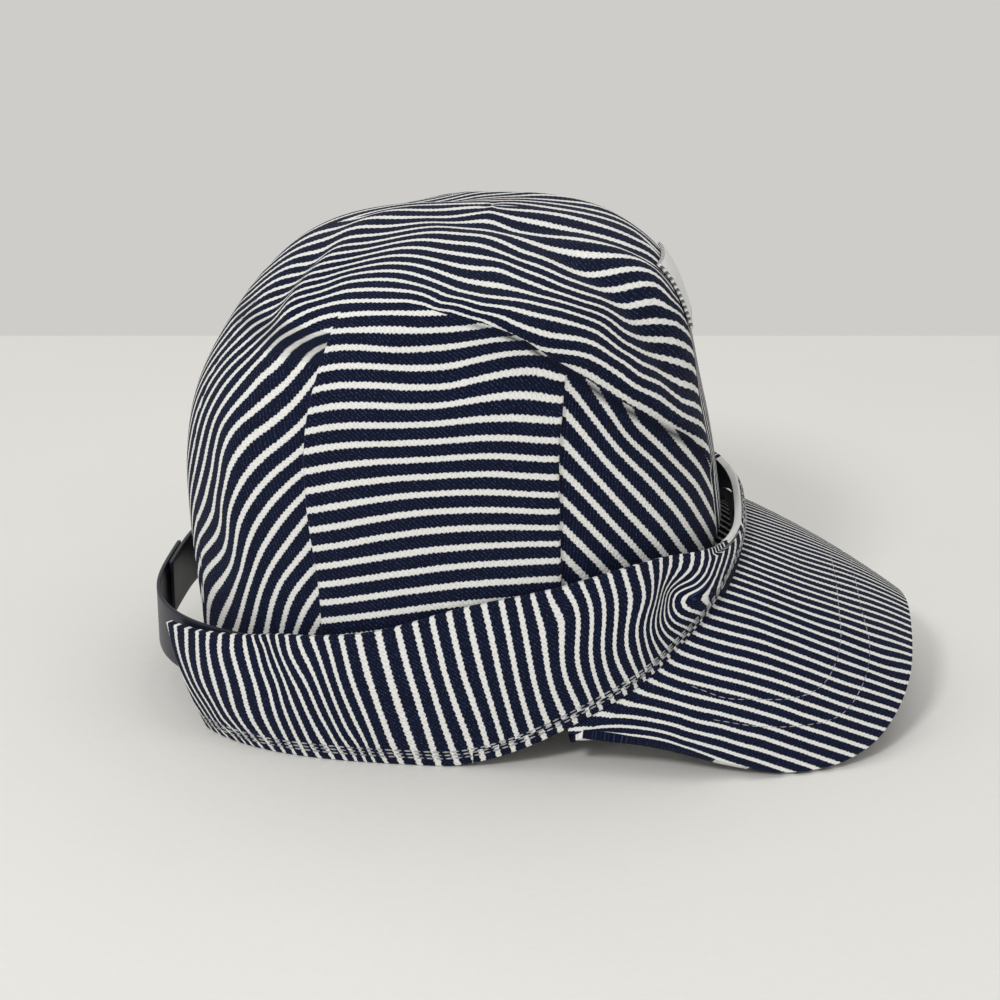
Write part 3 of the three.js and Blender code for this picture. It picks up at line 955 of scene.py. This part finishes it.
def crown_stripes(face_column, face_row, degrees, height):
    angle = np.radians(degrees)
    start = crown_start(angle)
    level = start + (TOP_LEVEL - start) * height
    place = smooth_crown(angle, level)
    turn = np.abs(degrees)
    part_of_face = np.array(CROWN_PARTS)[face_column]
    under, under_along, over, over_along = (np.zeros(degrees.shape) for _ in range(4))
    for part in ("strip", "front", "panel", "back"):
        mine = part_of_face == part
        cloth = crown_cloth(part, turn[mine], level[mine], place[mine])
        under[mine], under_along[mine], over[mine], over_along[mine] = cloth
    left = np.where(CROWN_LINES[face_column] >= 0, 1, -1)
    above = above_fold(turn, level)
    return {
        "cloth": (left * under, under_along / STRIPE),
        "over": (left * over, over_along / STRIPE),
        "fold": (above / 10, lap_ends(turn)),
    }


def make_crown():
    rows = np.linspace(0, 1, CROWN_ROWS + 1)
    bm = drape(CROWN_LINES, rows, crown_surface, crown_stripes)
    bmesh.ops.remove_doubles(bm, verts=bm.verts, dist=0.02 * MM)
    face_outward(bm)
    crown = finish_piece("crown_cloth", bm, CROWN_STRIPED, ["crown"])
    thicken(crown, CROWN_WALL)


make_crown()

# %% [markdown]
# ## The band
# The band is a folded strip, so its free edge is a fold and not a cut. A Solidify and a small
# Bevel make that round edge. Its stripes stand upright and lean back a little. Below the hem's
# stitching the cloth is turned under, so the stripes there don't meet the ones above.

# %% Stripes of the band
# Each row is a stripe, counted from the middle of the front. Its pixels were read on two enlarged
# parts of the photograph.
# left, top, enlarged
BACK_PART = (180, 560, 5)
FRONT_PART = (420, 520, 4.6)
BAND_BACK_READ = [
    (32, 1045, 375, 1120, 640, 1180, 850, 1220, 980),
    (35, 780, 410, 830, 600, 900, 780, 960, 960),
    (37, 640, 410, 650, 480, 740, 700, 830, 870, 880, 950),
    (39, 500, 400, 520, 480, 610, 640, 730, 880, 800, 1000),
    (40, 450, 385, 470, 440, 570, 680, 670, 900),
    (41, 410, 400, 430, 470, 520, 700, 620, 920),
    (42, 390, 370, 400, 430, 470, 640, 540, 860, 590, 970),
    (44, 290, 370, 285, 420, 350, 620, 440, 870, 470, 930),
    (46, 180, 370, 165, 420, 215, 620, 310, 840, 380, 920),
    (48, 60, 360, 55, 440, 100, 620, 210, 810, 290, 880),
    (49, 0, 440, 50, 580, 140, 740, 250, 880),
]
BAND_FRONT_READ = [
    (10, 1330, 165, 1310, 230, 1250, 300, 1180, 350, 1170, 400, 1220, 470, 1290, 530),
    (12, 1220, 170, 1215, 240, 1170, 320, 1130, 400, 1130, 450, 1180, 530),
    (14, 1130, 200, 1110, 370, 1070, 500, 1100, 570, 1150, 630),
    (16, 1025, 230, 1050, 370, 1020, 470, 1010, 560, 1060, 670),
    (18, 905, 275, 935, 430, 910, 600, 970, 730),
    (20, 775, 300, 810, 400, 820, 640, 860, 770),
    (22, 635, 335, 680, 430, 690, 650, 750, 830),
    (25, 410, 400, 460, 650, 540, 920),
    (29, 105, 485, 175, 740, 260, 980),
]
# chosen, as degrees from the front and height from 0 to 1
BAND_CHOSEN = [
    (0, 0, 0, 0, 0.5, 0, 1),
    (4, 14, 0.95, 15, 0.5, 15, 0.05),
    (8, 26, 0.9, 29, 0.68, 36, 0.5, 33, 0.15, 32, 0),
]
BAND_DEGREES = 144.0
BAND_DEGREE_MM = 1.6
BAND_HEIGHT_MM = 32.0
FIRM = 0.1


def band_rows():
    """All rows, read on the near side of the band before it gets its dents."""
    along, height = np.meshgrid(np.linspace(-1, -0.02, 1494), np.linspace(0, 1, 160))
    read = reader(-along * BAND_DEGREES, height, band_place(along, height, dents=()), 0, (1, 0.01))
    return BAND_CHOSEN + read(BAND_FRONT_READ, *FRONT_PART) + read(BAND_BACK_READ, *BACK_PART)


band_number = sheet_through(band_rows(), BAND_DEGREE_MM, BAND_HEIGHT_MM, FIRM)

# %% Drape the band
BAND_COLUMNS = 420
BAND_ROWS = 30
BAND_STRIPE = 5.3
# the strip's height in mm in front, how much taller it is at the sides, and where it grows
BAND_LOW = 20
BAND_RISE = 18
BAND_RISES = (14, 65)
HEM_ROWS = 3
HEM_SHARE = 0.085
# degrees from the front up to which the turned-under cloth shows along the hem
HEM_SHOWS = 80.0
# along the free edge in front one cream stripe runs with the fold
RIM_STRIPE = 3.5
RIM_HEIGHTS = (0.84, 0.9)
RIM_DEGREES = (22, 30)


def band_stripes(face_column, face_row, along, height):
    side = np.where(face_column * 2 >= BAND_COLUMNS, 1, -1)
    degrees = np.abs(along) * BAND_DEGREES
    turned_under = (face_row < HEM_ROWS) & (degrees < HEM_SHOWS)
    across = band_number(degrees, height) + 0.5 * turned_under
    rim = smooth(height, *RIM_HEIGHTS) * (1 - smooth(degrees, *RIM_DEGREES))
    across = across * (1 - rim) + RIM_STRIPE * rim
    tall = BAND_LOW + BAND_RISE * smooth(degrees, *BAND_RISES)
    return {"cloth": (side * across, tall * height / BAND_STRIPE)}


def make_band():
    columns = np.linspace(-1, 1, BAND_COLUMNS + 1)
    rows = lines((0, HEM_SHARE, HEM_ROWS), (HEM_SHARE, 1, BAND_ROWS - HEM_ROWS))
    bm = drape(columns, rows, band_place, band_stripes)
    face_outward(bm)
    band = finish_piece("band_cloth", bm, STRIPED, ["band"])
    band.data.materials.append(LINING_AND_TUCK_SHADE)
    thicken(band, BAND_WALL, edge_mm=0.9).material_offset = 1


make_band()

# %% [markdown]
# ## The visor
# The visor is a stiff board in the same cloth. Its edge is a table of places, the same on both
# sides, and each place is joined to the hem by the line on which the cloth runs to it.

# %% The visor's board
VISOR_WALL = 3.0
VISOR_GAP = 1.0
VISOR_TUCK = 3.0
VISOR_CROWNING = 2.2
VISOR_LENGTH = 60.0
VISOR_STRIPE = 5.0
VISOR_COLUMNS = 220
VISOR_ROWS = 44
VISOR_TUCK_ROWS = 2
# the share of the columns, to each side of the middle, where the tuck is painted dark as shade
VISOR_SHADE_SHARE = 0.12
# row number, x, y, z, degrees at the hem
VISOR_SIDE = [
    (0, 159, 0, 26, 0),
    (1, 157.6, 30, 20.4, 15),
    (2, 154, 44, 12.9, 23),
    (3, 147, 56, 5.8, 31),
    (4, 139, 63.5, 1.8, 36.5),
    (5, 129, 69, -0.6, 41),
    (6, 115, 74, -0.8, 45.5),
    (7, 99, 77.3, 2.6, 49),
    (8, 82, 79, 7.4, 52.5),
    (9, 65, 79.2, 10.6, 56),
    (10, 52, 78.8, 12.1, 58.8),
]
VISOR_EDGE = [(-n, x, -y, z, -root) for n, x, y, z, root in VISOR_SIDE[:0:-1]] + VISOR_SIDE


def visor_line(number):
    edge = np.stack([curve(VISOR_EDGE, column, number) for column in (1, 2, 3)], -1)
    edge[..., 2] += VISOR_WALL / 2
    root = np.radians(curve(VISOR_EDGE, 4, number))
    hem = band_bottom(root)
    step = math.radians(1)
    round_it = band_bottom(root + step) - band_bottom(root - step)
    inwards = np.stack([-round_it[..., 1], round_it[..., 0], 0 * root], -1)
    inwards /= np.linalg.norm(inwards, axis=-1, keepdims=True)
    board = np.cross(edge - hem, round_it)
    board /= np.linalg.norm(board, axis=-1, keepdims=True)
    hem[..., 2] -= VISOR_GAP + VISOR_WALL / 2 / np.abs(board[..., 2])
    inwards[..., 2] = -(board * inwards).sum(-1) / board[..., 2]
    return hem, edge, inwards


def visor_place(number, out):
    """The board's middle surface. out -1 to 0 is the tuck under the band, 0 to 1 the board."""
    hem, edge, inwards = visor_line(number)
    crowning = VISOR_CROWNING * np.minimum(1, np.linalg.norm(edge - hem, axis=-1) / VISOR_LENGTH)
    share = np.clip(out, 0, 1)[..., None]
    place = hem * (1 - share) + edge * share + inwards * np.maximum(-out, 0)[..., None] * VISOR_TUCK
    place[..., 2] += crowning * 4 * share[..., 0] * (1 - share[..., 0])
    return place


# %% Stripes of the visor
# Each row is a stripe on the board's upper side, and then the pixels that it passes. The cloth is
# laid out on the board's middle, and its wall carries every stripe half a stripe on from there.
VISOR_READ = [
    (0, 680, 738, 720, 749, 760, 761.5),
    (2, 680, 712.5, 720, 724, 760, 735, 800, 748, 840, 764),
    (5, 680, 677, 720, 687.5, 760, 699, 800, 712.5, 840, 726.5, 880, 742.5),
    (8, 720, 652.5, 760, 664, 800, 678, 840, 692.5, 880, 706.5),
    (11, 760, 631.5, 800, 646.5, 840, 661, 880, 675),
    (14, 760, 604, 800, 619, 840, 633, 880, 647.5),
    (17, 760, 581, 800, 596, 840, 610, 880, 623.5),
    (20, 760, 563.5, 800, 577.5, 840, 591, 880, 604),
    (23, 760, 546, 800, 561, 840, 574),
]
# chosen where no stripe could be read, as x and y in mm
VISOR_CHOSEN = [
    (-2, 82, -80.5, 95, -81),
    (0, 52, -77),
    (28, 107, -2, 120, 2, 134, 8, 150, 16),
    (34, 107, 19, 120, 23, 134, 29, 150, 37),
    (40, 107, 39, 120, 43, 134, 48, 147, 53),
    (48, 94, 59, 107, 61, 120, 63, 134, 66),
    (54, 65, 74, 94, 74.5, 115, 76),
]


def visor_readers():
    """Two readers of the visor's upper side: one gives x and y, one row number and share out."""
    number, out = np.meshgrid(np.linspace(-10, 10, 801), np.linspace(0, 1, 161))
    middle = visor_place(number, out)
    away = np.cross(np.gradient(middle, axis=0), np.gradient(middle, axis=1))
    away *= np.sign(away[..., 2:]) / np.linalg.norm(away, axis=-1, keepdims=True)
    upper = middle + away * VISOR_WALL / 2
    hidden = turned_away(upper, away, 0)
    in_mm = reader(upper[..., 0], upper[..., 1], upper, hidden, (1, 0.1))
    return in_mm, reader(-number, out, upper, hidden, (0.1, 0.01))


read_visor, read_arc = visor_readers()
visor_number = sheet_through(read_visor(VISOR_READ) + VISOR_CHOSEN, 1.0, 1.0, FIRM)
print("visor:", len(VISOR_READ), "stripes read")

# %% Drape the visor


def visor_stripes(face_column, face_row, number, out):
    place = visor_place(number, out)
    return {"cloth": (visor_number(place[..., 0], place[..., 1]), place[..., 0] / VISOR_STRIPE)}


def visor_shaded_tuck(face_column, face_row):
    """The tuck shows between crown and band in front, where it lies in the dark; there it takes plain
    dark cloth as painted shade.
    """
    return (face_row < VISOR_TUCK_ROWS) & (np.abs(face_column / VISOR_COLUMNS - 0.5) < VISOR_SHADE_SHARE)


def make_visor():
    last = VISOR_SIDE[-1][0]
    columns = np.linspace(-last, last, VISOR_COLUMNS + 1)
    rows = lines((-1, 0, VISOR_TUCK_ROWS), (0, 1, VISOR_ROWS - VISOR_TUCK_ROWS))
    bm = drape(columns, rows, visor_place, visor_stripes, visor_shaded_tuck)
    face_outward(bm)
    visor = finish_piece("visor_cloth", bm, STRIPED, ["visor"])
    # the second material paints the tuck dark, as shade
    visor.data.materials.append(LINING_AND_TUCK_SHADE)
    thicken(visor, VISOR_WALL, offset=0, edge_mm=1.2)


make_visor()

# %% [markdown]
# ## The strap
# Two halves of moulded plastic overlap at the back and snap together. Glossy plastic shows its
# shape by its highlights, so the edges need a real radius.

# %% Material of the strap
PLASTIC = (0.007, 0.010, 0.020, 1)
PLASTIC_DULL = (0.012, 0.015, 0.028, 1)


def strap_plastic():
    look = Look("strap plastic")
    place = look.objects()
    cloud = look.noise(place, 60.0, 3.0)
    scuffs = look.noise(place, 900.0, 2.0)
    colour = look.mix((cloud * 1.4 - 0.3).kept(), PLASTIC, PLASTIC_DULL)
    roughness = 0.30 + cloud * 0.12 + scuffs * 0.06
    inputs = {"Base Color": colour, "Roughness": roughness, "Specular IOR Level": 0.35}
    return look.finish(inputs, scuffs, 0.00004)


STRAP_LOOK = strap_plastic()

# %% Make the two halves
STRAP_HALF = 74.0
STRAP_SQUARE = 3.0
STRAP_BOTTOM = 18.0
STRAP_TOP = 38.0
STRAP_END = 127.0
STRAP_OVERLAP = 12.0
STRAP_WALL = 1.4
STRAP_GAP = 0.4
STRAP_COLUMNS = 60
STRAP_ROWS = 8


def make_strap(name, side, depth):
    """One half, from its end inside the band to just past the middle of the back."""
    start, end = 180 - side * (180 - STRAP_END), 180 + side * STRAP_OVERLAP / 2

    def surface(degrees, height):
        angle = np.radians(degrees)
        radius = outline(angle, STRAP_BACK, STRAP_HALF, STRAP_SQUARE) - depth
        z = STRAP_BOTTOM + (STRAP_TOP - STRAP_BOTTOM) * height
        return np.stack([radius * np.cos(angle), radius * np.sin(angle), z], -1)

    def flat(face_column, face_row, degrees, height):
        return {"cloth": (degrees / 10, height)}

    columns = np.linspace(min(start, end), max(start, end), STRAP_COLUMNS + 1)
    bm = drape(columns, np.linspace(0, 1, STRAP_ROWS + 1), surface, flat)
    face_outward(bm)
    strap = finish_piece(name + "_moulded", bm, STRAP_LOOK, [name])
    thicken(strap, STRAP_WALL, edge_mm=0.4)


make_strap("strap_right", -1, 0.0)
make_strap("strap_left", 1, STRAP_WALL + STRAP_GAP)

# %% [markdown]
# ## The patch
# A plain white patch is sewn on the front of the crown with an overcast edge.

# %% Patch on the front
PATCH_HALF = 14.0
PATCH_BOTTOM = 4.95
PATCH_TOP = 6.3
PATCH_WALL = 1.2
PATCH_GAP = 0.4
WHITE = (0.80, 0.80, 0.785, 1)
WHITE_SHADE = (0.66, 0.66, 0.65, 1)


def patch_cloth():
    look = Look("patch cloth")
    place = look.map_of("cloth")
    across, along = look.parts(place)
    weave = ((across * 9).fraction() - 0.5).size() + ((along * 9).fraction() - 0.5).size()
    cloud = look.noise(place, 1.2, 3.0)
    colour = look.mix((cloud * 0.8 + weave * 0.3).kept(), WHITE, WHITE_SHADE)
    right, up = look.parts(look.map_of("edge"))
    rim = ((right.size().maths("MAXIMUM", right.size(), up.size()) - 0.9) * 20).kept()
    dashes = (((across + along) * 3).fraction() * 3 - 0.8).kept()
    colour = look.mix(rim * dashes * 0.85, colour, NAVY)
    return look.finish({"Base Color": colour, "Roughness": 0.85 + cloud * 0.1}, weave, 0.0001)


PATCH_LOOK = patch_cloth()


def patch_surface(u, v):
    angle = np.radians(PATCH_HALF * u)
    level = PATCH_BOTTOM + (PATCH_TOP - PATCH_BOTTOM) * v
    return crown_place(angle, level) + outward(crown_place, angle, level) * (PATCH_GAP + PATCH_WALL)


def patch_weave(face_column, face_row, u, v):
    place = patch_surface(u, v)
    return {"cloth": (place[..., 1] / STRIPE, place[..., 2] / STRIPE), "edge": (u, 2 * v - 1)}


def make_patch():
    bm = drape(np.linspace(-1, 1, 41), np.linspace(0, 1, 31), patch_surface, patch_weave)
    face_outward(bm)
    patch = finish_piece("front_patch_cloth", bm, PATCH_LOOK, ["front_patch"])
    thicken(patch, PATCH_WALL, edge_mm=0.4, segments=2)


make_patch()

# %% [markdown]
# ## Stitches
# Thread lies on the cloth in short runs, each dipping into it at both ends. A stitch is a small
# stretched ball, and a seam is one mesh of many of them, laid along a line on a piece. The hem has
# three rows, and two arcs hold the layers of the visor together.

# %% Thread
THREAD = (0.42, 0.42, 0.42, 1)
THREAD_DARK = (0.20, 0.21, 0.23, 1)


def thread():
    look = Look("thread")
    place = look.objects()
    cloud = look.noise(place, 500.0, 2.0)
    ply = look.noise(place, 4000.0, 1.0)
    colour = look.mix(((cloud - 0.35) * 2.5).kept(), THREAD, THREAD_DARK)
    return look.finish({"Base Color": colour, "Roughness": 0.6 + cloud * 0.2}, ply, 0.00005)


THREAD_LOOK = thread()

# %% Sew along lines
STITCH_LENGTH = 2.5
STITCH_STEP = 3.1
# stitches are made a few at a time, which keeps each call short
SEAM_BATCH = 30
HEM_SEAMS = (5.2, 4.0, 2.8)
# the two arcs on the visor: share of the way out in the middle, then the pixels that it passes
INNER_ARC = (0.53, 837, 602, 841, 644, 824, 685, 790, 699, 755, 700, 721, 696)
OUTER_ARC = (0.66, 860, 603, 870, 646, 861, 689, 835, 717, 801, 726, 755, 726, 711, 720)
# row number and share of the way out where the inner arc goes under the hem, chosen
INNER_END = [5, 0.15]


def sew(bm, surface, first, second, lift, thick):
    """Stitches along surface(first, second); lift is mm off it, negative for its other side."""
    step = 0.002
    places = surface(first, second)
    lengths = np.concatenate([[0], np.cumsum(np.linalg.norm(np.diff(places, axis=0), axis=1))])
    at = np.arange(STITCH_STEP / 2, lengths[-1], STITCH_STEP)
    a, b = np.interp(at, lengths, first), np.interp(at, lengths, second)
    along = surface(a + step, b) - surface(a - step, b)
    across = surface(a, b + step) - surface(a, b - step)
    away = np.cross(along, across)
    away /= np.linalg.norm(away, axis=1, keepdims=True)
    middle = surface(a, b) + away * lift
    seam = bmesh.new()
    for i in range(len(at)):
        ahead = Vector(middle[min(i + 1, len(at) - 1)] - middle[max(i - 1, 0)]).normalized()
        up = Vector(away[i])
        turn = Matrix((ahead, up.cross(ahead).normalized(), up)).transposed().to_4x4()
        size = Matrix.Diagonal((STITCH_LENGTH / 2 * MM, thick * MM, thick * 0.7 * MM, 1))
        place = Matrix.Translation(to_frame(middle[i])) @ turn @ size
        bmesh.ops.create_uvsphere(seam, u_segments=8, v_segments=4, radius=1, matrix=place)
        if i % SEAM_BATCH == SEAM_BATCH - 1 or i == len(at) - 1:
            mesh = bpy.data.meshes.new("seam")
            seam.to_mesh(mesh)
            bm.from_mesh(mesh)
            bpy.data.meshes.remove(mesh)
            seam.clear()
    seam.free()
    return len(at)


def make_stitches():
    bm = bmesh.new()
    count = 0
    along = np.linspace(-0.995, 0.995, 900)
    tall = np.linalg.norm(band_place(along, np.ones(900)) - band_place(along, np.zeros(900)), axis=1)
    for above_hem in HEM_SEAMS:
        count += sew(bm, band_place, along, np.minimum(above_hem / tall, 0.8), 0.12, 0.3)
    inner, outer = read_arc([INNER_ARC, OUTER_ARC])
    for share, *places in (inner + INNER_END, outer):
        arc = [(0, share), *zip(places[::2], places[1::2])]
        number = np.linspace(-arc[-1][0], arc[-1][0], 500)
        out = curve(arc, 1, np.abs(number))
        count += sew(bm, visor_place, number, out, -VISOR_WALL / 2 - 0.02, 0.15)
    print("sewed", count, "stitches")
    finish_piece("seam_stitches", bm, THREAD_LOOK)


make_stitches()

# %% [markdown]
# ## Table and light
# A pale table whose far edge shows behind the cap, a light grey wall beyond it, a lamp like a
# window in front of it, and a large dim one above.

# %% Table
TABLE_EDGE = 0.424
TABLE_PALE = (0.80, 0.793, 0.765, 1)
TABLE_GREY = (0.74, 0.733, 0.71, 1)


def table_top():
    look = Look("table top")
    place = look.objects()
    cloud = look.noise(place, 6.0, 4.0)
    grain = look.noise(place, 300.0, 3.0)
    colour = look.mix((cloud * 0.7 + grain * 0.3).kept(), TABLE_PALE, TABLE_GREY)
    return look.finish({"Base Color": colour, "Roughness": 0.75 + cloud * 0.1}, grain, 0.0001)


def make_table():
    bm = bmesh.new()
    bmesh.ops.create_grid(bm, x_segments=1, y_segments=1, size=1)
    bmesh.ops.scale(bm, vec=(1.6, 1.0, 1), verts=bm.verts)
    bmesh.ops.translate(bm, vec=(0, TABLE_EDGE - 1.0, -0.2 * MM), verts=bm.verts)
    turn = Matrix.Rotation(math.radians(CAMERA_TURN), 3, "Z")
    bmesh.ops.rotate(bm, cent=(0, 0, 0), matrix=turn, verts=bm.verts)
    mesh = bpy.data.meshes.new("table")
    bm.to_mesh(mesh)
    bm.free()
    mesh.materials.append(table_top())
    table = bpy.data.objects.new("table", mesh)
    bpy.context.scene.collection.objects.link(table)


make_table()

# %% Lamps and wall
WALL = (0.62, 0.61, 0.59, 1)


def lamp(name, place, target, size, watts):
    light = bpy.data.lights.new(name, "AREA")
    light.shape = "SQUARE"
    light.size = size
    light.energy = watts
    holder = bpy.data.objects.new(name, light)
    holder.location = place
    holder.rotation_euler = (Vector(target) - Vector(place)).to_track_quat("-Z", "Y").to_euler()
    bpy.context.scene.collection.objects.link(holder)


lamp("window", (-0.57, -1.3, 1.2), (0, 0, 0.06), 0.3, 13)
lamp("ceiling", (0.1, 0.35, 1.6), (0.05, 0.15, 0), 1.2, 4.5)
world = bpy.data.worlds.new("wall")
world.use_nodes = True
backdrop = world.node_tree.nodes["Background"]
backdrop.inputs["Color"].default_value = WALL
backdrop.inputs["Strength"].default_value = 1.0
bpy.context.scene.world = world
bpy.context.scene.view_settings.view_transform = "Standard"

# %% [markdown]
# ## The camera
# The camera looks down on the cap by 20 degrees and stands 6 degrees towards its front. A lens of
# 73 mm at 0.7 m gives the photograph's perspective. The cap sits left of the middle and low in
# the frame, which a small shift of the lens does without turning the camera.

# %% Camera


def make_camera():
    data = bpy.data.cameras.new("camera")
    data.lens = CAMERA_LENS
    data.sensor_width = CAMERA_SENSOR
    data.shift_x = SHIFT_RIGHT
    data.shift_y = SHIFT_UP
    camera = bpy.data.objects.new("camera", data)
    camera.location = to_frame(CAMERA_PLACE)
    camera.rotation_euler = (math.radians(CAMERA_TILT), 0, math.radians(CAMERA_TURN))
    bpy.context.scene.collection.objects.link(camera)
    bpy.context.scene.camera = camera


make_camera()
